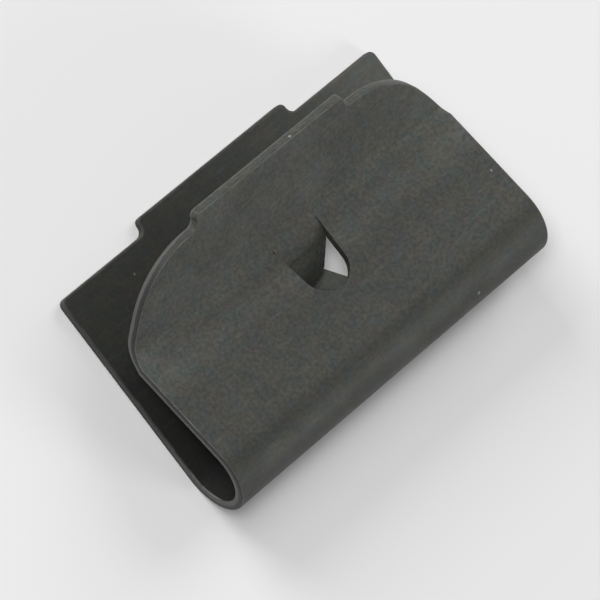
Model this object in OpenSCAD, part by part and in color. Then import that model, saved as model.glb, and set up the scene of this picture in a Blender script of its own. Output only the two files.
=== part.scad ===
// Hub cap clip: one strip of spring steel, folded to a U, with a tooth lanced from its upper leaf.
// X runs along the fold, +Y points out of the mouth, and Z = 0 is the underside of the lower leaf.

/* [Sheet] */
// Thickness of the spring steel
sheet_t = 0.6; // [0.45:0.05:0.7]
// Length of the clip along its fold
clip_w = 25; // [22:0.5:40]
// How much the sheet shrinks at a bend, on each face
bend_thin = 0.01; // [0.006:0.001:0.02]

/* [Fold] */
// Outer radius of the fold
fold_r = 2.6; // [2.55:0.05:3.2]

/* [Lower leaf] */
// Depth from the outside of the fold to the square shoulders
lower_d = 14.8; // [14.5:0.1:18]
// Radius of the shoulders' corners
shoulder_r = 0.4; // [0.2:0.1:2]

/* [Upper leaf] */
// Angle at which the leaf slopes down from the fold to the pinch
slope_angle = 13.7; // [9:0.1:15]
// Length of the slope on its outer face, from the fold to the pinch line
slope_l = 7.25; // [6.8:0.05:7.6]
// Angle at which the lip rises past the pinch
lip_angle = 40.5; // [30:0.5:44]
// Length of the lip from the pinch line to its shoulders
lip_l = 4.5; // [4.1:0.1:5.2]
// Radius of the pinch bend on the outer face
pinch_r = 1.3; // [0.8:0.1:1.6]
// Radius of the lip's large corners
corner_r = 5.6; // [4.6:0.1:6]
// Angle at which the leaf's flanks lean in from its sides towards those corners
flank_angle = 25; // [18:0.5:30]
// Length of leaf, measured flat, from the side where a flank begins to the shoulders
flank_d = 5.3; // [5.1:0.05:6]

/* [Tabs] */
// Width of the tab in the middle of each free edge
tab_w = 11.7; // [6:0.1:14]
// How far each tab stands out past its shoulders
tab_step = 0.87; // [0.86:0.01:1.5]
// Radius of the tabs' outer corners
tab_corner_r = 0.35; // [0.1:0.05:0.4]
// Radius of the fillets at the tabs' feet
tab_foot_r = 0.5; // [0.1:0.05:0.5]

/* [Tooth] */
// Width of the tooth at its root
tooth_w = 3.4; // [3.1:0.1:4.4]
// Angle at which the tooth points down, measured from the lower leaf
tooth_angle = 44.5; // [38:0.5:55]
// Inside radius of the bend at the tooth's root
tooth_bend_r = 0.2; // [0.15:0.05:0.5]
// Flat left between the tooth's root and the pinch bend
tooth_land = 0.12; // [0.1:0.01:0.5]
// Height at which the tooth's nose stops above the lower leaf
tooth_gap = 0.2; // [0.1:0.05:0.8]
// Radius of the tooth's nose
tooth_nose_r = 1.45; // [0.8:0.05:1.5]
// Gap that the cut leaves around the tooth
shear_gap = 0.1; // [0.05:0.01:0.15]

/* [Window] */
// Width of the window in the lower leaf
window_w = 8; // [7.8:0.1:10]
// Length of the window, across the fold
window_l = 5; // [4.2:0.1:6]
// Distance from the outside of the fold to the window
window_y = 4.6; // [4:0.1:5]
// Radius of the window's corners
window_r = 0.5; // [0.2:0.1:0.5]
// Width of the tongue at its root
tongue_w = 6.6; // [4:0.1:6.8]
// Length of the tongue
tongue_l = 3.6; // [2:0.1:4]
// Radius of the tongue's nose
tongue_nose_r = 1.4; // [0.5:0.1:1.8]

/* [Hidden] */
$fn = 96;
steel = [0.29, 0.29, 0.28];

// How far straight sides run in under the round that they end in
nose_tuck = 0.002;
// Middle of the clip's depth, which the frame is centred on
middle_y = (bend_thin + lower_d + tab_step) / 2;
// The feet of a low tab are limited by its height
foot_r = min(tab_foot_r, tab_step - tab_corner_r);
pinch_angle = slope_angle + lip_angle;
// The bend takes this much off the straight stretches that meet at the pinch line
pinch_tangent = pinch_r * tan(pinch_angle / 2);
slope_straight = slope_l - pinch_tangent;
lip_straight = lip_l - pinch_tangent;
// The tooth's root on the slope, its height there, and how far its sheet bends down from the slope
root_y = slope_straight - tooth_land;
root_z = fold_r * (1 + cos(slope_angle)) - root_y * sin(slope_angle);
tooth_bend = slope_angle + tooth_angle;
tooth_r = tooth_bend_r + sheet_t;
// Past its bend the tooth is as long as its drop to just above the lower leaf needs
bend_drop = tooth_r * (cos(slope_angle) - cos(tooth_angle));
tooth_drop = root_z - bend_drop - sheet_t * (1 + cos(tooth_angle)) - tooth_gap;
tooth_straight = tooth_drop / sin(tooth_angle);
// Length of sheet in the tooth, along the middle of its thickness
tooth_sheet_l = tooth_straight + (tooth_r - sheet_t / 2) * tooth_bend * PI / 180;
// The slot that the tooth leaves in the slope
slot_l = tooth_sheet_l + shear_gap;
slot_w = tooth_w + 2 * shear_gap;
// Length of sheet in the pinch bend, on its outer face
pinch_sheet_l = pinch_r * pinch_angle * PI / 180;
// Where a flank crosses the start of the lip, and how far it has yet to run on the slope
flank_x = clip_w / 2 - (flank_d - lip_straight) * tan(flank_angle);
flank_rest = flank_d - lip_straight - pinch_sheet_l;
// The same place on the side, seen square to the lip from the start of the lip
flank_back = pinch_r * sin(pinch_angle) + flank_rest * cos(pinch_angle);
// The round of a large corner runs from a flank to the shoulder
flank_r = corner_r - nose_tuck;
flank_l = (lip_straight - corner_r + flank_r * sin(flank_angle)) / cos(flank_angle);
corner_x = flank_x - flank_l * sin(flank_angle) - flank_r * cos(flank_angle);
// How far a cut reaches past the faces it opens
cut_past = sheet_t;
// How far a bend runs on into the plates at its ends
bend_lap = 0.06;

// Sheet bent around the X axis, between two places on it: starting angle from +Y towards +Z, and sweep
module bend(inner_r, start, sweep, from_x, to_x) {
  lap = bend_lap / (inner_r + sheet_t / 2) * 180 / PI;
  rotate([90, 0, 90])
    rotate([0, 0, start - lap])
      rotate_extrude(angle = sweep + 2 * lap)
        translate([inner_r + bend_thin, from_x + bend_thin])
          square([sheet_t - 2 * bend_thin, to_x - from_x - 2 * bend_thin]);
}

// Rectangle from y = 0, centred on x = 0
module strip(width, length) {
  translate([-width / 2, 0])
    square([width, length]);
}

// What lies between a square corner at the origin and the arc that rounds it
module spandrel(r) {
  difference() {
    square(r);
    translate([r, r])
      circle(r);
  }
}

// The children once on each side of x = 0
module both_sides() {
  children();
  mirror([1, 0])
    children();
}

// Tab on a free edge that lies on y = 0 and runs out to x = end_x, into a corner of radius end_r.
// Each foot is a fillet from the tab's side to the edge, or to the corner where that begins sooner.
module tab(end_x, end_r) {
  foot_x = tab_w / 2 + foot_r;
  over = max(0, foot_x - end_x);
  foot_y = sqrt(pow(end_r + foot_r, 2) - pow(over, 2)) - end_r;
  share = foot_r / (end_r + foot_r);
  meet_x = foot_x - share * over;
  meet_y = foot_y - share * (end_r + foot_y);
  difference() {
    strip(tab_w, tab_step);
    both_sides()
      translate([tab_w / 2, tab_step])
        rotate(180)
          spandrel(tab_corner_r);
  }
  difference() {
    translate([0, meet_y])
      strip(2 * meet_x, foot_y - meet_y);
    both_sides()
      translate([foot_x, foot_y])
        circle(foot_r);
  }
}

// Tongue rooted on y = 0: a short square neck, then sides that run straight into a round nose
module tongue(width, length, nose_r) {
  neck_y = 2 * bend_lap;
  nose_y = length - nose_r;
  side_r = nose_r - nose_tuck;
  reach = norm([width / 2, nose_y - neck_y]);
  touch = acos(side_r / reach) - atan2(nose_y - neck_y, width / 2);
  touch_x = side_r * cos(touch);
  touch_y = nose_y + side_r * sin(touch);
  translate([0, nose_y])
    circle(nose_r);
  polygon([
    [-width / 2, 0],
    [width / 2, 0],
    [width / 2, neck_y],
    [touch_x, touch_y],
    [-touch_x, touch_y],
    [-width / 2, neck_y]
  ]);
}

// What the lower leaf loses at the corners of its free edge, which lies on y = 0
module shoulder_corners() {
  both_sides()
    translate([clip_w / 2, 0])
      rotate(180)
        spandrel(shoulder_r);
}

// What the upper leaf loses beside its flanks and large corners, with y = 0 at the start of the lip
module lip_corners() {
  out_x = clip_w / 2 + cut_past;
  out_y = flank_back * (out_x - flank_x) / (clip_w / 2 - flank_x);
  corner_y = lip_straight - corner_r;
  both_sides()
    difference() {
      polygon([
        [corner_x, corner_y],
        [corner_x, lip_straight + cut_past],
        [out_x, lip_straight + cut_past],
        [out_x, -out_y],
        [flank_x, 0],
        [flank_x - flank_l * sin(flank_angle), flank_l * cos(flank_angle)]
      ]);
      translate([corner_x, corner_y])
        circle(corner_r);
    }
}

module window() {
  difference() {
    strip(window_w, window_l);
    for (end = [0, 1])
      translate([0, end * window_l])
        mirror([0, end])
          both_sides()
            translate([window_w / 2, 0])
              rotate(90)
                spandrel(window_r);
    tongue(tongue_w, tongue_l, tongue_nose_r);
  }
}

module lower_leaf() {
  linear_extrude(sheet_t) {
    difference() {
      translate([0, fold_r])
        strip(clip_w, lower_d - fold_r);
      translate([0, lower_d])
        shoulder_corners();
      translate([0, window_y])
        window();
    }
    translate([0, lower_d])
      tab(clip_w / 2 - shoulder_r, shoulder_r);
  }
}

module fold() {
  translate([0, fold_r, fold_r])
    bend(fold_r - sheet_t, 90 - slope_angle, 180 + slope_angle, -clip_w / 2, clip_w / 2);
}

// Places children at the start of the slope: +Y along it, Z = 0 on its outer face
module on_slope() {
  translate([0, fold_r, fold_r])
    rotate([-slope_angle, 0, 0])
      translate([0, 0, fold_r])
        children();
}

// Places children on the axis of the pinch bend, still square to the slope
module on_pinch() {
  on_slope()
    translate([0, slope_straight, pinch_r])
      children();
}

// Places children at the start of the lip: +Y along it, Z = 0 on its outer face
module on_lip() {
  on_pinch()
    rotate([pinch_angle, 0, 0])
      translate([0, 0, -pinch_r])
        children();
}

// Plate under the outer face, from a flat outline
module plate() {
  translate([0, 0, -sheet_t])
    linear_extrude(sheet_t)
      children();
}

// From the fold to the pinch, with the slot that the tooth leaves
module slope() {
  on_slope()
    plate()
      difference() {
        strip(clip_w, slope_straight);
        translate([0, root_y])
          mirror([0, 1])
            tongue(slot_w, slot_l, tooth_nose_r + shear_gap);
      }
}

module pinch() {
  on_pinch()
    bend(pinch_r, 270, pinch_angle, -clip_w / 2, clip_w / 2);
}

module lip() {
  on_lip()
    plate() {
      difference() {
        strip(clip_w, lip_straight);
        lip_corners();
      }
      translate([0, lip_straight])
        tab(corner_x, corner_r);
    }
}

// The tooth, bent down out of its slot, with its nose towards the fold
module tooth() {
  on_slope()
    translate([0, root_y, -tooth_r]) {
      bend(tooth_bend_r, 90, tooth_bend, -tooth_w / 2, tooth_w / 2);
      rotate([tooth_bend, 0, 0])
        translate([0, 0, tooth_r])
          plate()
            mirror([0, 1])
              tongue(tooth_w, tooth_straight, tooth_nose_r);
    }
}

// Carries the flanks on through the pinch and the slope, square to the lip
module flank_cut() {
  on_lip()
    translate([0, 0, -sheet_t - cut_past])
      linear_extrude(corner_r)
        lip_corners();
}

module upper_leaf() {
  difference() {
    union() {
      slope();
      pinch();
    }
    flank_cut();
  }
  lip();
  tooth();
}

module spring_clip() {
  color(steel)
    translate([0, -middle_y, 0]) {
      lower_leaf();
      fold();
      upper_leaf();
    }
}

spring_clip();
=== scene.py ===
import math

import bmesh
import bpy
import numpy as np
from mathutils import Matrix, Vector
from mathutils.geometry import delaunay_2d_cdt


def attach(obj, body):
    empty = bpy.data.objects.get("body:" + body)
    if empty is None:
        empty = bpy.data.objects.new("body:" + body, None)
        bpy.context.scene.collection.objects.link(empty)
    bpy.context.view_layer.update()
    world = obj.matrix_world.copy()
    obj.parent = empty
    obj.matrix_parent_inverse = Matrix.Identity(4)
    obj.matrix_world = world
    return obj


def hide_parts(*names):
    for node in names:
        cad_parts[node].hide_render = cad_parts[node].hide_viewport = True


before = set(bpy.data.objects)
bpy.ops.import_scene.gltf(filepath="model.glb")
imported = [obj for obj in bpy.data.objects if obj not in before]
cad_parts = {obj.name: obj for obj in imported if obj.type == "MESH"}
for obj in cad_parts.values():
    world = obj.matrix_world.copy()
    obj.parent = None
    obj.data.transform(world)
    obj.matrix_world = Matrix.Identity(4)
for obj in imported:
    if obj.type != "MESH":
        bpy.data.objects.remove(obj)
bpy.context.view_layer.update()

# Sizes of the clip, in millimetres, as the CAD model has them
MM = 0.001
SHEET_T = 0.6
CLIP_W = 25.0
BEND_THIN = 0.01
FOLD_R = 2.6
LOWER_D = 14.8
SHOULDER_R = 0.4
SLOPE_ANGLE = math.radians(13.7)
SLOPE_L = 7.25
LIP_ANGLE = math.radians(40.5)
LIP_L = 4.5
PINCH_R = 1.3
CORNER_R = 5.6
FLANK_ANGLE = math.radians(25.0)
FLANK_D = 5.3
TAB_W = 11.7
TAB_STEP = 0.87
TAB_CORNER_R = 0.35
TAB_FOOT_R = 0.5
TOOTH_W = 3.4
TOOTH_ANGLE = math.radians(44.5)
TOOTH_GAP = 0.2
WINDOW_W = 8.0
WINDOW_L = 5.0
WINDOW_Y = 4.6
WINDOW_R = 0.5
TONGUE_W = 6.6
TONGUE_L = 3.6
TONGUE_NOSE_R = 1.4

# Finer sizes of this scene's own: a softly bent tooth in a close slot, and flanks that are fuller at the lip
TOOTH_BEND_R = 0.8
TOOTH_LAND = -0.214
TOOTH_NOSE_R = 1.3
SLOT_NOSE_R = 1.49
SHEAR_GAP = 0.04
NOSE_GAP = 3 * SHEAR_GAP
TONGUE_NECK = 0.12
FLANK_FULL = 0.1
FLANK_FULL_BACK = 0.1
FLANK_FULL_REACH = 1.3

# The flat blank: s runs along the middle of the sheet, from the fold's start on the lower leaf to the lip
HALF_T = SHEET_T / 2 - BEND_THIN
HALF_W = CLIP_W / 2
MIDDLE_Y = (BEND_THIN + LOWER_D + TAB_STEP) / 2
FOLD_MID_R = FOLD_R - SHEET_T / 2
FOLD_ANGLE = math.pi + SLOPE_ANGLE
PINCH_MID_R = PINCH_R + SHEET_T / 2
PINCH_ANGLE = SLOPE_ANGLE + LIP_ANGLE
PINCH_TANGENT = PINCH_R * math.tan(PINCH_ANGLE / 2)
SLOPE_STRAIGHT = SLOPE_L - PINCH_TANGENT
LIP_STRAIGHT = LIP_L - PINCH_TANGENT
S_LOWER = FOLD_R - LOWER_D
S_TONGUE_TIP = FOLD_R - WINDOW_Y - TONGUE_L
S_SLOPE = FOLD_MID_R * FOLD_ANGLE
S_PINCH = S_SLOPE + SLOPE_STRAIGHT
S_LIP = S_PINCH + PINCH_MID_R * PINCH_ANGLE
S_UPPER = S_LIP + LIP_STRAIGHT

# The tooth: its root, its bend, and the straight stretch that ends just above the lower leaf
S_ROOT = S_PINCH - TOOTH_LAND
ROOT_Z = FOLD_R * (1 + math.cos(SLOPE_ANGLE)) - (SLOPE_STRAIGHT - TOOTH_LAND) * math.sin(SLOPE_ANGLE)
TOOTH_BEND = SLOPE_ANGLE + TOOTH_ANGLE
TOOTH_R = TOOTH_BEND_R + SHEET_T
TOOTH_MID_R = TOOTH_BEND_R + SHEET_T / 2
BEND_DROP = TOOTH_R * (math.cos(SLOPE_ANGLE) - math.cos(TOOTH_ANGLE))
TOOTH_DROP = ROOT_Z - BEND_DROP - SHEET_T * (1 + math.cos(TOOTH_ANGLE)) - TOOTH_GAP
TOOTH_BEND_L = TOOTH_MID_R * TOOTH_BEND
TOOTH_L = TOOTH_DROP / math.sin(TOOTH_ANGLE) + TOOTH_BEND_L
SLOT_L = TOOTH_L + NOSE_GAP
SLOT_W = TOOTH_W + 2 * SHEAR_GAP

# The upper leaf's flanks, which lean in from its sides to the large corners
FLANK_X = HALF_W - (FLANK_D - LIP_STRAIGHT) * math.tan(FLANK_ANGLE)
FLANK_REST = FLANK_D - LIP_STRAIGHT - PINCH_R * PINCH_ANGLE
FLANK_BACK = PINCH_R * math.sin(PINCH_ANGLE) + FLANK_REST * math.cos(PINCH_ANGLE)
FLANK_L = (LIP_STRAIGHT - CORNER_R + CORNER_R * math.sin(FLANK_ANGLE)) / math.cos(FLANK_ANGLE)
CORNER_X = FLANK_X - FLANK_L * math.sin(FLANK_ANGLE) - CORNER_R * math.cos(FLANK_ANGLE)

# Edges of the sheet: rolled over by the die on the outer face, crisp on the inner one
ROLL_R = 0.09
SLOT_ROLL_R = 0.04
CRISP_R = 0.04
SUPPORT = 0.16

# Fineness of the mesh: steps on arcs, rows across the bends, spacing of points and their distance from the rims
EDGE_STEPS = 4
SMALL_ARC_STEPS = 8
FOOT_STEPS = 10
NOSE_STEPS = 24
CORNER_STEPS = 48
FOLD_ROWS = 72
PINCH_ROWS = 18
TOOTH_ROWS = 12
COLUMNS = 36
TOOTH_STRIDE = 3
LIP_SPACING = 0.14
SLOPE_SPACING = 0.5
WINDOW_SPACING = 0.7
END_SPACING = 0.8
SIDE_SPACING = 0.9
ROW_CLEAR = 0.05
ROOT_CLEAR = 0.03
TOOTH_CLEAR = 0.06
WELD_DIGITS = 5
FILL_EPSILON = 1e-7

# Greys of the finish
COOL_GREY = (0.046, 0.052, 0.048, 1.0)
WARM_GREY = (0.054, 0.053, 0.045, 1.0)
RUDDY_GREY = (0.055, 0.051, 0.048, 1.0)
SPECK_GREY = (0.24, 0.24, 0.22, 1.0)
TORN_GREY = (0.028, 0.029, 0.028, 1.0)
SHEAR_GREY = (0.085, 0.084, 0.078, 1.0)
# A lighter grey for the rims of the cut edges: rubbed metal, and a painted highlight along the rims
RUBBED_AND_HIGHLIGHT_GREY = (0.15, 0.15, 0.14, 1.0)
FLOOR_GREY = (0.84, 0.84, 0.84, 1.0)

# Patterns of the finish: the scale of each noise to the millimetre, its detail and its roughness
PATCHES = (0.33, 3.0, 0.55)
TINT = (1.1, 2.0, 0.5)
BLUSH = (1.6, 2.0, 0.6)
GRAIN = (4.5, 4.0, 0.65)
SCUFFS = (0.8, 2.0, 0.5)
PITS = (2.4, 2.0, 0.5)
TEAR = (2.2, 2.0, 0.5)
RUB = (0.9, 3.0, 0.6)
SCUFF_STRETCH = (0.5, 5.0, 5.0)
SCUFF_TURN = 0.6
SPECK_SCALE = 0.4

# Tones of the coat, 1 where it is plain
PATCH_TONES = (0.95, 1.05)
GRAIN_TONES = (0.76, 1.24)
FOLD_GRAIN = 0.5
SCUFF_TONE = 1.18
# DEEP_TONE is painted shade deep between the leaves, and TONGUE_TONE is painted light on the tongue
DEEP_TONE = 0.33
TONGUE_TONE = 2.4
# TOOTH_TONE and RIGHT_TONE are painted light on the tooth and towards the right end
TOOTH_TONE = 1.95
RIGHT_TONE = 1.1

# Soft stripes of painted light and shade along the sheet, at the pinch and on the fold: where each has its
# middle, how far it reaches, and its tone
STRIPES = {
    "painted light before the pinch": (S_PINCH - 1.2, 2.0, 1.33),
    "painted shade before the pinch": (S_PINCH - 0.55, 0.7, 0.94),
    "painted light in the pinch": (S_PINCH + 0.55, 0.9, 1.25),
    "painted shade at the fold": (S_SLOPE - 0.65, 0.5, 0.92),
    "painted highlight on the fold": (S_SLOPE - 1.5, 0.8, 1.32),
}

# Stretches of the sheet, painted light on the lip and painted shade on the fold: where the tone starts to
# change, where it is reached, and the tone
STRETCHES = {
    "lip": (S_PINCH - 1.0, S_LIP, 1.42),
    "fold": (S_SLOPE - 1.3, S_SLOPE - 2.2, 0.97),
}

# The lamps, all at one distance: the direction each stands in, its size and its power
LAMP_DISTANCE = 0.6
LAMPS = {
    "key_box": ((-0.420, 0.242, 0.875), 0.18, 1.24),
    "top_box": ((-0.276, 0.519, 0.809), 0.25, 0.40),
    "mouth_box": ((-0.157, 0.892, 0.423), 0.30, 2.31),
    "side_box": ((0.810, 0.217, 0.545), 0.40, 1.45),
    "low_box": ((0.389, -0.874, 0.292), 0.20, 1.11),
}
DOME_STRENGTH = 0.091
FLOOR_HALF = 1.5


# Outlines on the flat blank

def arc(x, y, r, start, end, steps):
    """Points on an arc about (x, y), both ends included, angles in degrees."""
    turns = [math.radians(start + (end - start) * i / steps) for i in range(steps + 1)]
    return [(x + r * math.cos(a), y + r * math.sin(a)) for a in turns]


def between(p, q, step):
    """Points on the straight line from p to q, without its ends."""
    count = max(1, math.ceil(math.dist(p, q) / step))
    return [(p[0] + (q[0] - p[0]) * i / count, p[1] + (q[1] - p[1]) * i / count) for i in range(1, count)]


def leaf_end(end_x, end_r, lean, steps):
    """Right half of a leaf's free end, from its corner to the middle of its tab; y = 0 on the shoulder."""
    foot_r = min(TAB_FOOT_R, TAB_STEP - TAB_CORNER_R)
    foot_x = TAB_W / 2 + foot_r
    over = max(0.0, foot_x - end_x)
    foot_y = math.sqrt((end_r + foot_r) ** 2 - over ** 2) - end_r
    back = math.degrees(math.asin(over / (end_r + foot_r)))
    points = arc(end_x, -end_r, end_r, lean, 90 - back, steps)
    foot = arc(foot_x, foot_y, foot_r, -90 - back, -180, FOOT_STEPS)
    points += between(points[-1], foot[0], END_SPACING)
    points += foot[0 if over == 0 else 1:]
    tip = arc(TAB_W / 2 - TAB_CORNER_R, TAB_STEP - TAB_CORNER_R, TAB_CORNER_R, 0, 90, SMALL_ARC_STEPS)
    points += tip
    return points + between(tip[-1], (0, TAB_STEP), END_SPACING) + [(0, TAB_STEP)]


def fold_rows():
    return [S_SLOPE * i / FOLD_ROWS for i in range(FOLD_ROWS + 1)]


def pinch_rows():
    return [S_PINCH + (S_LIP - S_PINCH) * i / PINCH_ROWS for i in range(PINCH_ROWS + 1)]


def swell(s):
    """How much fuller the flank is about the start of the lip, where it is rounded."""
    part = min(1.0, abs(s - S_LIP + FLANK_FULL_BACK) / FLANK_FULL_REACH)
    return FLANK_FULL * math.cos(math.pi / 2 * part) ** 2


def half_width(s):
    """Half width of the blank at a place in the pinch, where the flanks have begun."""
    back = PINCH_R * math.sin((S_LIP - s) / PINCH_MID_R)
    return min(HALF_W, FLANK_X + (HALF_W - FLANK_X) * back / FLANK_BACK + swell(s))


def blank_outline():
    lower = [(x, S_LOWER - y) for x, y in leaf_end(HALF_W - SHOULDER_R, SHOULDER_R, 0, SMALL_ARC_STEPS)]
    upper = leaf_end(CORNER_X, CORNER_R, math.degrees(FLANK_ANGLE), CORNER_STEPS)
    upper = between((FLANK_X, S_LIP - S_UPPER), upper[0], LIP_SPACING) + upper
    upper = [(x + swell(S_UPPER + y), S_UPPER + y) for x, y in upper]
    rows = fold_rows()
    flank = [(HALF_W, S_PINCH - FLANK_REST)] + [(half_width(s), s) for s in pinch_rows()]
    side = between(lower[0], (HALF_W, rows[0]), SIDE_SPACING) + [(HALF_W, s) for s in rows]
    side += between((HALF_W, rows[-1]), flank[0], SLOPE_SPACING) + flank
    right = lower[::-1] + side + upper
    left = [(-x, s) for x, s in right[1:-1]]
    return right + left[::-1]


def tongue_outline(width, length, nose_r):
    """A tongue's right half, from its root on y = 0 to the tip of its round nose."""
    nose_y = length - nose_r
    rise = nose_y - TONGUE_NECK
    touch = math.degrees(math.acos(nose_r / math.hypot(width / 2, rise)) - math.atan2(rise, width / 2))
    return [(width / 2, 0), (width / 2, TONGUE_NECK)] + arc(0, nose_y, nose_r, touch, 90, NOSE_STEPS)


def mirrored(half):
    """Closes a half outline that ends on x = 0 with its mirror image."""
    return half + [(-x, y) for x, y in half[-2::-1]]


def window_outline():
    """The window with its tongue; its fold side is the one nearest s = 0."""
    near = FOLD_R - WINDOW_Y
    tongue = tongue_outline(TONGUE_W, TONGUE_L, TONGUE_NOSE_R)
    x, y, r = WINDOW_W / 2 - WINDOW_R, WINDOW_L - WINDOW_R, WINDOW_R
    far = arc(x, y, r, 90, 0, SMALL_ARC_STEPS)
    close = arc(x, WINDOW_R, r, 0, -90, SMALL_ARC_STEPS)
    half = [(0, WINDOW_L)] + between((0, WINDOW_L), far[0], WINDOW_SPACING) + far
    half += between(far[-1], close[0], WINDOW_SPACING) + close + tongue
    loop = mirrored(half)[:-1]
    return [(px, near - py) for px, py in loop]


def slot_side():
    """Right half of the slot, from the root of the tooth to the slot's nose."""
    return [(x, S_ROOT - y) for x, y in tongue_outline(SLOT_W, SLOT_L, SLOT_NOSE_R)]


def tooth_side():
    """Right half of the tooth, from its root to its nose, with a point on each row of its bend."""
    rows = [TOOTH_BEND_L * i / TOOTH_ROWS for i in range(TOOTH_ROWS)]
    straight = tongue_outline(TOOTH_W, TOOTH_L - TOOTH_BEND_L, TOOTH_NOSE_R)
    half = [(TOOTH_W / 2, y) for y in rows] + [(x, TOOTH_BEND_L + y) for x, y in straight]
    return [(x, S_ROOT - y) for x, y in half]


# The solid blank

def runs_left(loop):
    """Whether the loop's inside lies on its left, as its signed area tells."""
    return sum(a[0] * b[1] - b[0] * a[1] for a, b in zip(loop, loop[1:] + loop[:1])) > 0


def turned(loop, want_left):
    """The loop, turned round where its inside lies on the wrong hand."""
    return loop if runs_left(loop) == want_left else loop[::-1]


def inset(loop, distance):
    """The closed loop moved into the sheet, which lies on its left."""
    p = np.array(loop)
    ahead = np.roll(p, -1, axis=0) - p
    ahead /= np.linalg.norm(ahead, axis=1)[:, None]
    left = np.stack([-ahead[:, 1], ahead[:, 0]], axis=1)
    before = np.roll(left, 1, axis=0)
    lean = (left * before).sum(axis=1)[:, None]
    return p + distance * (left + before) / (1 + lean)


def edge_profile(roll_r):
    """Stations across a cut edge: inset, height in the sheet, and how much of the cut shows there."""
    quarter = [math.pi / 2 * i / EDGE_STEPS for i in range(EDGE_STEPS + 1)]
    inner = [(CRISP_R * (1 - math.sin(a)), HALF_T - CRISP_R * (1 - math.cos(a))) for a in quarter]
    outer = [(roll_r * (1 - math.sin(a)), roll_r * (1 - math.cos(a)) - HALF_T) for a in quarter]
    body = [(0.0, (inner[-1][1] + outer[-1][1]) / 2)]
    line = [(SUPPORT, HALF_T)] + inner + body + outer[::-1] + [(SUPPORT, -HALF_T)]
    last = len(line) - 1
    return [(d, z, 0.0 if i in (0, last) else 1.0 - d / roll_r) for i, (d, z) in enumerate(line)]


def inside(points, loops):
    """Which points lie in the sheet that the loops bound."""
    hit = np.zeros(len(points), bool)
    x, y = points[:, 0], points[:, 1]
    for loop in loops:
        for a, b in zip(loop, np.roll(loop, -1, axis=0)):
            crosses = (a[1] > y) != (b[1] > y)
            if crosses.any():
                at = a[0] + (y - a[1]) * (b[0] - a[0]) / (b[1] - a[1])
                hit ^= crosses & (x < at)
    return hit


def fill(loops, rows):
    """Triangles that fill the loops, with rows of points kept as lines."""
    points, lines = [], []
    for line, closed in [(loop, True) for loop in loops] + [(row, False) for row in rows]:
        first = len(points)
        points += [Vector(p) for p in line]
        lines += [(i, i + 1) for i in range(first, len(points) - 1)]
        if closed:
            lines.append((len(points) - 1, first))
    places, _, faces, sources, *_ = delaunay_2d_cdt(points, lines, [], 0, FILL_EPSILON)
    given = [p for line in loops + rows for p in line]
    places = np.array([given[found[0]] if found else tuple(p) for p, found in zip(places, sources)])
    middles = np.array([places[list(f)].mean(axis=0) for f in faces])
    keep = inside(middles, [np.array(loop) for loop in loops])
    return places, [f for f, k in zip(faces, keep) if k]


class Blank:
    """Vertices and faces of the flat blank, welded as they are added."""

    def __init__(self):
        self.index, self.places, self.marks, self.faces = {}, [], [], []

    def vertex(self, x, s, z, edge, tooth):
        key = tuple(round(c, WELD_DIGITS) for c in (x, s, z))
        if key not in self.index:
            self.index[key] = len(self.places)
            self.places.append((x, s, z))
            self.marks.append((edge, tooth))
        return self.index[key]

    def face(self, corners):
        kept = [v for i, v in enumerate(corners) if v != corners[i - 1]]
        if len(kept) > 2:
            self.faces.append(kept)


def add_rim(blank, loop, on_tooth, roll_r):
    """The rounded edge along a closed loop."""
    rings = []
    for distance, z, cut in edge_profile(roll_r):
        ring = zip(inset(loop, distance), on_tooth)
        rings.append([blank.vertex(x, s, z, cut, tooth) for (x, s), tooth in ring])
    for upper, lower in zip(rings, rings[1:]):
        for i in range(len(loop)):
            blank.face([upper[i - 1], upper[i], lower[i], lower[i - 1]])


def add_faces(blank, loops, rows, tooth):
    """Both faces of the sheet inside the loops."""
    places, faces = fill(loops, rows)
    for z in (HALF_T, -HALF_T):
        ids = [blank.vertex(x, s, z, 0.0, tooth) for x, s in places]
        for f in faces:
            blank.face([ids[i] for i in (f if z > 0 else f[::-1])])


def row_across(s, left, right):
    return [(left + (right - left) * i / COLUMNS, s) for i in range(COLUMNS + 1)]


def inset_loop(loop):
    """The loop on which a face of the sheet meets its rounded edge."""
    return [tuple(p) for p in inset(loop, SUPPORT)]


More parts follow.
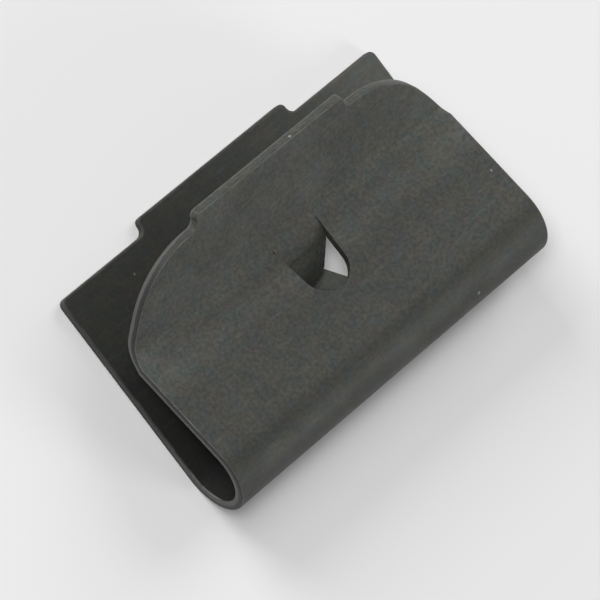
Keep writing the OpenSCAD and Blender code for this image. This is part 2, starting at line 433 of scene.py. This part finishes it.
def flat_blank():
    """The sheet before it is bent, with its window, and with the tooth cut free in its slot."""
    blank = Blank()
    outer = turned(blank_outline(), True)
    window = turned(window_outline(), False)
    slot, tooth = slot_side(), tooth_side()
    cut = mirrored(slot) + mirrored(tooth)[::-1]
    on_tooth = [0.0] * (2 * len(slot) - 1) + [1.0] * (2 * len(tooth) - 1)
    if runs_left(cut):
        cut, on_tooth = cut[::-1], on_tooth[::-1]
    add_rim(blank, outer, [0.0] * len(outer), ROLL_R)
    add_rim(blank, window, [0.0] * len(window), ROLL_R)
    add_rim(blank, cut, on_tooth, SLOT_ROLL_R)

    cut_in = inset_loop(cut)
    slot_in = [p for p, t in zip(cut_in, on_tooth) if not t]
    tooth_in = [p for p, t in zip(cut_in, on_tooth) if t]
    ends = sorted([tooth_in[0], tooth_in[-1]])
    root = row_across(S_ROOT + SUPPORT, ends[0][0], ends[1][0])[TOOTH_STRIDE:-TOOTH_STRIDE:TOOTH_STRIDE]
    root = [ends[0]] + root + [ends[1]]
    slot_loop = slot_in + (root if slot_in[-1][0] < 0 else root[::-1])
    tooth_loop = tooth_in + (root if tooth_in[-1][0] < 0 else root[::-1])[1:-1]

    rows = [row_across(s, -HALF_W + SUPPORT, HALF_W - SUPPORT)[1:-1] for s in fold_rows()]
    for s in pinch_rows():
        far = half_width(s) - SUPPORT - ROW_CLEAR
        if s > S_ROOT + SUPPORT + ROOT_CLEAR:
            rows.append(row_across(s, -far, far))
        else:
            near = SLOT_W / 2 + SUPPORT + ROW_CLEAR
            rows += [row_across(s, near, far), row_across(s, -far, -near)]
    bend = [S_ROOT - TOOTH_BEND_L * i / TOOTH_ROWS for i in range(TOOTH_ROWS + 1)]
    reach = TOOTH_W / 2 - SUPPORT - TOOTH_CLEAR
    across = [row_across(s, -reach, reach)[::TOOTH_STRIDE] for s in bend]
    add_faces(blank, [inset_loop(outer), inset_loop(window), slot_loop], rows, 0.0)
    add_faces(blank, [tooth_loop], across, 1.0)
    return blank


def blank_mesh(name):
    """The blank as a mesh that keeps, at each point, what the bends and the finish need to know."""
    blank = flat_blank()
    mesh = bpy.data.meshes.new(name)
    mesh.from_pydata([tuple(c * MM for c in p) for p in blank.places], [], blank.faces)
    for label, values in (
        ("cut_edge", [m[0] for m in blank.marks]),
        ("tooth", [m[1] for m in blank.marks]),
        ("along", [p[1] for p in blank.places]),
        ("depth", [p[2] / HALF_T for p in blank.places]),
    ):
        mesh.attributes.new(label, "FLOAT", "POINT").data.foreach_set("value", values)
    work = bmesh.new()
    work.from_mesh(mesh)
    bmesh.ops.recalc_face_normals(work, faces=work.faces)
    for face in work.faces:
        face.smooth = True
    work.to_mesh(mesh)
    work.free()
    return mesh


# The folding rule, as Geometry Nodes

class Tree:
    """Short calls for building a node tree."""

    def __init__(self, tree):
        self.tree = tree

    def node(self, kind, **settings):
        node = self.tree.nodes.new(kind)
        for key, value in settings.items():
            setattr(node, key, value)
        return node

    def put(self, socket, value):
        if isinstance(value, bpy.types.NodeSocket):
            self.tree.links.new(value, socket)
        else:
            socket.default_value = value

    def math(self, operation, a, b=None, clamp=False):
        node = self.node("ShaderNodeMath", operation=operation, use_clamp=clamp)
        self.put(node.inputs[0], a)
        if b is not None:
            self.put(node.inputs[1], b)
        return node.outputs[0]

    def plus(self, a, b):
        return self.math("ADD", a, b)

    def minus(self, a, b):
        return self.math("SUBTRACT", a, b)

    def times(self, a, b):
        return self.math("MULTIPLY", a, b)

    def noise(self, place, pattern):
        node = self.node("ShaderNodeTexNoise")
        self.put(node.inputs["Vector"], place)
        for key, value in zip(("Scale", "Detail", "Roughness"), pattern):
            node.inputs[key].default_value = value
        return node.outputs[0]

    def span(self, value, low, high, to_low=0.0, to_high=1.0):
        """Turns low..high into to_low..to_high, softly, and holds it there."""
        node = self.node("ShaderNodeMapRange", interpolation_type="SMOOTHSTEP")
        for socket, given in zip(node.inputs, (value, low, high, to_low, to_high)):
            self.put(socket, given)
        return node.outputs[0]

    def band(self, value, middle, reach):
        """1 at the middle, falling softly to 0 at its reach on both sides."""
        return self.span(self.math("ABSOLUTE", self.minus(value, middle)), reach, 0.0)

    def linear(self, share, level):
        """1 where share is 0, level where it is 1."""
        return self.plus(1.0, self.times(share, self.minus(level, 1.0)))

    def mix(self, share, a, b):
        node = self.node("ShaderNodeMix", data_type="RGBA")
        for place, given in ((0, share), (6, a), (7, b)):
            self.put(node.inputs[place], given)
        return node.outputs[2]

    def scaled(self, vector, amount):
        node = self.node("ShaderNodeVectorMath", operation="SCALE")
        self.put(node.inputs[0], vector)
        self.put(node.inputs["Scale"], amount)
        return node.outputs[0]

    def moved(self, place, by):
        node = self.node("ShaderNodeVectorMath", operation="ADD")
        self.put(node.inputs[0], place)
        self.put(node.inputs[1], by)
        return node.outputs[0]

    def stretched(self, place, scale, turn):
        node = self.node("ShaderNodeMapping")
        self.put(node.inputs["Vector"], place)
        node.inputs["Rotation"].default_value = (0.0, 0.0, turn)
        node.inputs["Scale"].default_value = scale
        return node.outputs[0]

    def mark(self, name):
        """A value kept on the mesh under this name."""
        return self.node("ShaderNodeAttribute", attribute_name=name).outputs["Fac"]


def bend_group():
    """Bends the sheet about a line across it: what lies past the line, or before it where Direction is -1."""
    group = bpy.data.node_groups.new("bend_sheet", "GeometryNodeTree")
    group.interface.new_socket("Geometry", in_out="INPUT", socket_type="NodeSocketGeometry")
    group.interface.new_socket("Selection", in_out="INPUT", socket_type="NodeSocketBool").default_value = True
    for label in ("Start", "Middle Radius", "Angle", "Direction"):
        group.interface.new_socket(label, in_out="INPUT", socket_type="NodeSocketFloat")
    group.interface.new_socket("Geometry", in_out="OUTPUT", socket_type="NodeSocketGeometry")
    t = Tree(group)
    given = t.node("NodeGroupInput").outputs
    place = t.node("ShaderNodeSeparateXYZ")
    t.put(place.inputs[0], t.node("GeometryNodeInputPosition").outputs[0])
    start, radius, angle, side = (given[k] for k in ("Start", "Middle Radius", "Angle", "Direction"))
    length = t.times(radius, t.math("ABSOLUTE", angle))
    past = t.times(t.minus(place.outputs["Y"], start), side)
    turn = t.times(t.math("DIVIDE", past, length, clamp=True), angle)
    rest = t.math("MAXIMUM", t.minus(past, length), 0.0)
    before = t.math("MINIMUM", past, 0.0)
    centre = t.times(radius, t.math("SIGN", angle))
    arm = t.minus(centre, place.outputs["Z"])
    sine, cosine = t.math("SINE", turn), t.math("COSINE", turn)
    run = t.plus(t.times(arm, sine), t.times(rest, cosine))
    y = t.plus(start, t.times(t.plus(run, before), side))
    z = t.minus(centre, t.times(arm, cosine))
    z = t.plus(z, t.times(rest, sine))
    joined = t.node("ShaderNodeCombineXYZ")
    for socket, value in zip(joined.inputs, (place.outputs["X"], y, z)):
        t.put(socket, value)
    move = t.node("GeometryNodeSetPosition")
    t.put(move.inputs["Geometry"], given["Geometry"])
    t.put(move.inputs["Selection"], given["Selection"])
    t.put(move.inputs["Position"], joined.outputs[0])
    t.put(t.node("NodeGroupOutput").inputs[0], move.outputs[0])
    return group


def fold_tree(material):
    """Bends the tooth first, then the pinch, then the fold, and at last sets the clip on the floor."""
    tree = bpy.data.node_groups.new("fold_clip", "GeometryNodeTree")
    tree.interface.new_socket("Geometry", in_out="INPUT", socket_type="NodeSocketGeometry")
    sizes = {
        "Tooth Start": S_ROOT * MM,
        "Tooth Radius": TOOTH_MID_R * MM,
        "Tooth Angle": TOOTH_BEND,
        "Tooth Direction": -1.0,
        "Pinch Start": S_PINCH * MM,
        "Pinch Radius": PINCH_MID_R * MM,
        "Pinch Angle": -PINCH_ANGLE,
        "Pinch Direction": 1.0,
        "Fold Start": 0.0,
        "Fold Radius": FOLD_MID_R * MM,
        "Fold Angle": FOLD_ANGLE,
        "Fold Direction": 1.0,
        "Back": (FOLD_R - MIDDLE_Y) * MM,
        "Height": HALF_T * MM,
    }
    keys = {}
    for label in sizes:
        socket = tree.interface.new_socket(label, in_out="INPUT", socket_type="NodeSocketFloat")
        keys[label] = socket.identifier
    tree.interface.new_socket("Geometry", in_out="OUTPUT", socket_type="NodeSocketGeometry")
    t = Tree(tree)
    given = t.node("NodeGroupInput").outputs
    bend, flow = bend_group(), given["Geometry"]
    for line in ("Tooth", "Pinch", "Fold"):
        step = t.node("GeometryNodeGroup", node_tree=bend)
        t.put(step.inputs["Geometry"], flow)
        t.put(step.inputs["Start"], given[line + " Start"])
        t.put(step.inputs["Middle Radius"], given[line + " Radius"])
        t.put(step.inputs["Angle"], given[line + " Angle"])
        t.put(step.inputs["Direction"], given[line + " Direction"])
        if line == "Tooth":
            mark = t.node("GeometryNodeInputNamedAttribute", data_type="FLOAT")
            mark.inputs["Name"].default_value = "tooth"
            t.put(step.inputs["Selection"], t.math("GREATER_THAN", mark.outputs["Attribute"], 0.5))
        flow = step.outputs["Geometry"]
    shift = t.node("ShaderNodeCombineXYZ")
    t.put(shift.inputs["Y"], given["Back"])
    t.put(shift.inputs["Z"], given["Height"])
    place = t.node("GeometryNodeTransform")
    t.put(place.inputs["Geometry"], flow)
    t.put(place.inputs["Translation"], shift.outputs[0])
    place.inputs["Rotation"].default_value = (0.0, 0.0, math.pi)
    real = t.node("GeometryNodeRealizeInstances")
    t.put(real.inputs["Geometry"], place.outputs[0])
    paint = t.node("GeometryNodeSetMaterial")
    t.put(paint.inputs["Geometry"], real.outputs[0])
    paint.inputs["Material"].default_value = material
    t.put(t.node("NodeGroupOutput").inputs[0], paint.outputs[0])
    return tree, {keys[label]: value for label, value in sizes.items()}


def folded_clip(material):
    """The blank, folded by the tree and made a plain mesh."""
    flat = bpy.data.objects.new("flat_blank", blank_mesh("flat_blank"))
    bpy.context.scene.collection.objects.link(flat)
    tree, sizes = fold_tree(material)
    fold = flat.modifiers.new("fold", "NODES")
    fold.node_group = tree
    for key, value in sizes.items():
        fold[key] = value
    flat.update_tag()
    bpy.context.view_layer.update()
    graph = bpy.context.evaluated_depsgraph_get()
    folded = flat.evaluated_get(graph)
    mesh = bpy.data.meshes.new_from_object(folded, preserve_all_data_layers=True, depsgraph=graph)
    bpy.data.objects.remove(flat)
    mesh.name = "folded_clip"
    clip = bpy.data.objects.new("folded_clip", mesh)
    bpy.context.scene.collection.objects.link(clip)
    return clip


# Finishes

def phosphate_coat(t, place, along):
    """Colour of the bare face: cool, warm and ruddy patches, scuffs, fine grain and a few bright specks."""
    patches = t.noise(place, PATCHES)
    tint = t.noise(t.moved(place, (31.0, 7.0, 3.0)), TINT)
    grain = t.noise(place, GRAIN)
    scuffs = t.noise(t.stretched(place, SCUFF_STRETCH, SCUFF_TURN), SCUFFS)
    blush = t.noise(t.moved(place, (11.0, 43.0, 19.0)), BLUSH)
    coat = t.mix(t.span(tint, 0.38, 0.62), COOL_GREY, WARM_GREY)
    coat = t.mix(t.span(blush, 0.52, 0.72), coat, RUDDY_GREY)
    level = t.span(patches, 0.3, 0.7, *PATCH_TONES)
    share = t.span(along, S_SLOPE, S_SLOPE - 1.5, 1.0, FOLD_GRAIN)
    level = t.times(level, t.linear(share, t.span(grain, 0.3, 0.7, *GRAIN_TONES)))
    level = t.times(level, t.span(scuffs, 0.56, 0.72, 1.0, SCUFF_TONE))
    coat = t.scaled(coat, level)
    cells = t.node("ShaderNodeTexVoronoi")
    t.put(cells.inputs["Vector"], place)
    cells.inputs["Scale"].default_value = SPECK_SCALE
    chosen = t.node("ShaderNodeSeparateColor")
    t.put(chosen.inputs[0], cells.outputs["Color"])
    apart = t.plus(cells.outputs["Distance"], t.times(t.minus(grain, 0.5), 0.09))
    speck = t.times(t.span(apart, 0.05, 0.025), t.span(chosen.outputs[0], 0.40, 0.42))
    return t.mix(speck, coat, SPECK_GREY), patches, grain


def inner_tone(t, along, x, across):
    """Tone of the sheet's inner face: painted shade deep between the leaves, painted shade and light across the
    mouth, darker at the left and lighter towards the right, and painted light on the tongue.
    """
    # Painted shade and light across the mouth: darker at the left, lighter towards the right end
    painted_side_shading = t.times(t.span(x, -6.0, 6.0, 0.55, 0.88), t.span(x, 4.0, 12.0, 1.0, 1.7))
    mouth = t.span(along, S_TONGUE_TIP, S_TONGUE_TIP - 2.5, DEEP_TONE, painted_side_shading)
    tongue = t.times(t.span(along, -0.5, -2.0), t.span(across, TONGUE_W / 2 + 0.4, TONGUE_W / 2))
    tongue = t.times(tongue, t.span(along, S_TONGUE_TIP - 0.4, S_TONGUE_TIP))
    return t.math("MAXIMUM", mouth, t.times(tongue, TONGUE_TONE))


def painted_light_and_shade_tone(t, along, x):
    """Painted light and shade on the sheet: stripes at the pinch and the fold, a lighter lip, a darker fold, a
    lighter tooth and a lighter right end.
    """
    # Painted light: lighter towards the right end
    tone = t.span(x, -4.0, 12.0, 1.0, RIGHT_TONE)
    for middle, reach, level in STRIPES.values():
        tone = t.times(tone, t.linear(t.band(along, middle, reach), level))
    for start, end, level in STRETCHES.values():
        tone = t.times(tone, t.span(along, start, end, 1.0, level))
    # Painted light on the tooth
    tooth = t.span(along, S_ROOT - 0.3, S_ROOT - 1.8, 1.0, TOOTH_TONE)
    return t.times(tone, t.linear(t.mark("tooth"), tooth))


def sheared_edge(t, place, coat, depth, cut, across, x, along):
    """The cut edge: torn next to the outer face, smooth and paler next to the inner one, with lighter rims that
    are rubbed metal and painted highlight, and painted shade on the lower leaf's edges.
    """
    wander = t.times(t.minus(t.noise(place, TEAR), 0.5), 0.5)
    blunt = t.span(x, -9.0, -5.0)
    side = t.minus(t.plus(depth, wander), t.times(blunt, 0.45))
    torn = t.mix(blunt, TORN_GREY, t.scaled(coat, 0.75))
    face = t.mix(t.span(side, -0.1, 0.3), torn, SHEAR_GREY)
    # Painted shade: the cut edges of the lower leaf are darker
    face = t.scaled(face, t.span(along, 0.0, -4.0, 1.0, 0.55))
    edged = t.mix(t.span(cut, 0.45, 0.8), coat, face)
    near_slot = t.span(across, SLOT_W / 2 + 0.5, SLOT_W / 2 + 0.3)
    lanced = t.times(near_slot, t.span(along, S_LIP, S_PINCH + 0.3))
    # The lighter rims are weaker beside the slot's root and on the lower leaf, which carries painted shade
    rim_strength = t.times(t.linear(lanced, 0.35), t.span(along, 0.0, -4.0, 1.0, 0.25))
    rubbed_and_highlight = t.times(t.span(cut, 0.02, 0.35), t.span(cut, 0.9, 0.55))
    patchy = t.span(t.noise(t.moved(place, (5.0, 17.0, 29.0)), RUB), 0.35, 0.65, 0.25, 1.0)
    return t.mix(t.times(t.times(rubbed_and_highlight, rim_strength), patchy), edged, RUBBED_AND_HIGHLIGHT_GREY)


def blackened_steel():
    material = bpy.data.materials.new("blackened_steel")
    material.use_nodes = True
    t = Tree(material.node_tree)
    shader = material.node_tree.nodes["Principled BSDF"]
    place = t.scaled(t.node("ShaderNodeTexCoord").outputs["Object"], 1 / MM)
    along, depth, cut = t.mark("along"), t.mark("depth"), t.mark("cut_edge")
    split = t.node("ShaderNodeSeparateXYZ")
    t.put(split.inputs[0], place)
    x = split.outputs["X"]
    across = t.math("ABSOLUTE", x)
    coat, patches, grain = phosphate_coat(t, place, along)
    # The inner face carries painted shade deep between the leaves and painted light on the tongue and towards
    # the right
    coat = t.scaled(coat, t.linear(t.span(depth, 0.2, 0.8), inner_tone(t, along, x, across)))
    # Painted light and shade along the sheet, on the tooth and towards the right end
    coat = t.scaled(coat, painted_light_and_shade_tone(t, along, x))
    t.put(shader.inputs["Base Color"], sheared_edge(t, place, coat, depth, cut, across, x, along))
    rough = t.span(patches, 0.3, 0.7, 0.62, 0.52)
    t.put(shader.inputs["Roughness"], t.minus(rough, t.times(cut, 0.12)))
    shader.inputs["Specular IOR Level"].default_value = 0.22
    pits = t.noise(t.moved(place, (3.0, 5.0, 41.0)), PITS)
    bump = t.node("ShaderNodeBump")
    bump.inputs["Strength"].default_value = 0.25
    bump.inputs["Distance"].default_value = 0.04 * MM
    t.put(bump.inputs["Height"], t.plus(t.times(grain, 0.5), pits))
    t.put(shader.inputs["Normal"], bump.outputs[0])
    return material


def pale_floor():
    material = bpy.data.materials.new("pale_floor")
    material.use_nodes = True
    shader = material.node_tree.nodes["Principled BSDF"]
    shader.inputs["Base Color"].default_value = FLOOR_GREY
    shader.inputs["Roughness"].default_value = 0.9
    shader.inputs["Specular IOR Level"].default_value = 0.0
    return material


# The studio

def camera():
    """The photograph's view: where the camera stands, and its right, down and forward directions."""
    stand = Vector((-0.127905, 0.029799, 0.255988))
    right = Vector((0.686931, -0.596538, 0.415052))
    down = Vector((-0.575983, -0.795172, -0.189591))
    ahead = Vector((0.443136, -0.108827, -0.889824))
    data = bpy.data.cameras.new("camera")
    data.sensor_width = 36.0
    data.lens = 307.84
    data.clip_start = 0.01
    data.clip_end = 10.0
    obj = bpy.data.objects.new("camera", data)
    bpy.context.scene.collection.objects.link(obj)
    axes = Matrix((right, -down, -ahead)).transposed().to_4x4()
    obj.matrix_world = Matrix.Translation(stand) @ axes
    bpy.context.scene.camera = obj


def floor():
    mesh = bpy.data.meshes.new("floor")
    corners = [(i * FLOOR_HALF, j * FLOOR_HALF, 0) for i, j in ((-1, -1), (1, -1), (1, 1), (-1, 1))]
    mesh.from_pydata(corners, [], [(0, 1, 2, 3)])
    mesh.materials.append(pale_floor())
    obj = bpy.data.objects.new("floor", mesh)
    bpy.context.scene.collection.objects.link(obj)


def soft_box(name, direction, size, power):
    """A square lamp that faces the clip from the given direction."""
    data = bpy.data.lights.new(name, "AREA")
    data.shape = "SQUARE"
    data.size = size
    data.energy = power
    obj = bpy.data.objects.new(name, data)
    bpy.context.scene.collection.objects.link(obj)
    way = Vector(direction).normalized()
    facing = way.to_track_quat("Z", "Y").to_matrix().to_4x4()
    obj.matrix_world = Matrix.Translation(way * LAMP_DISTANCE) @ facing


def lights():
    """A dome, and lamps beside the camera, above, before the mouth, at the side and low behind."""
    world = bpy.data.worlds.new("studio")
    bpy.context.scene.world = world
    world.use_nodes = True
    background = world.node_tree.nodes["Background"]
    background.inputs["Color"].default_value = (1.0, 1.0, 1.0, 1.0)
    background.inputs["Strength"].default_value = DOME_STRENGTH
    for name, (direction, size, power) in LAMPS.items():
        soft_box(name, direction, size, power)


bpy.context.scene.view_settings.view_transform = "Standard"
camera()
lights()
floor()
clip = folded_clip(blackened_steel())
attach(clip, "root")
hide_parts("spring_clip")
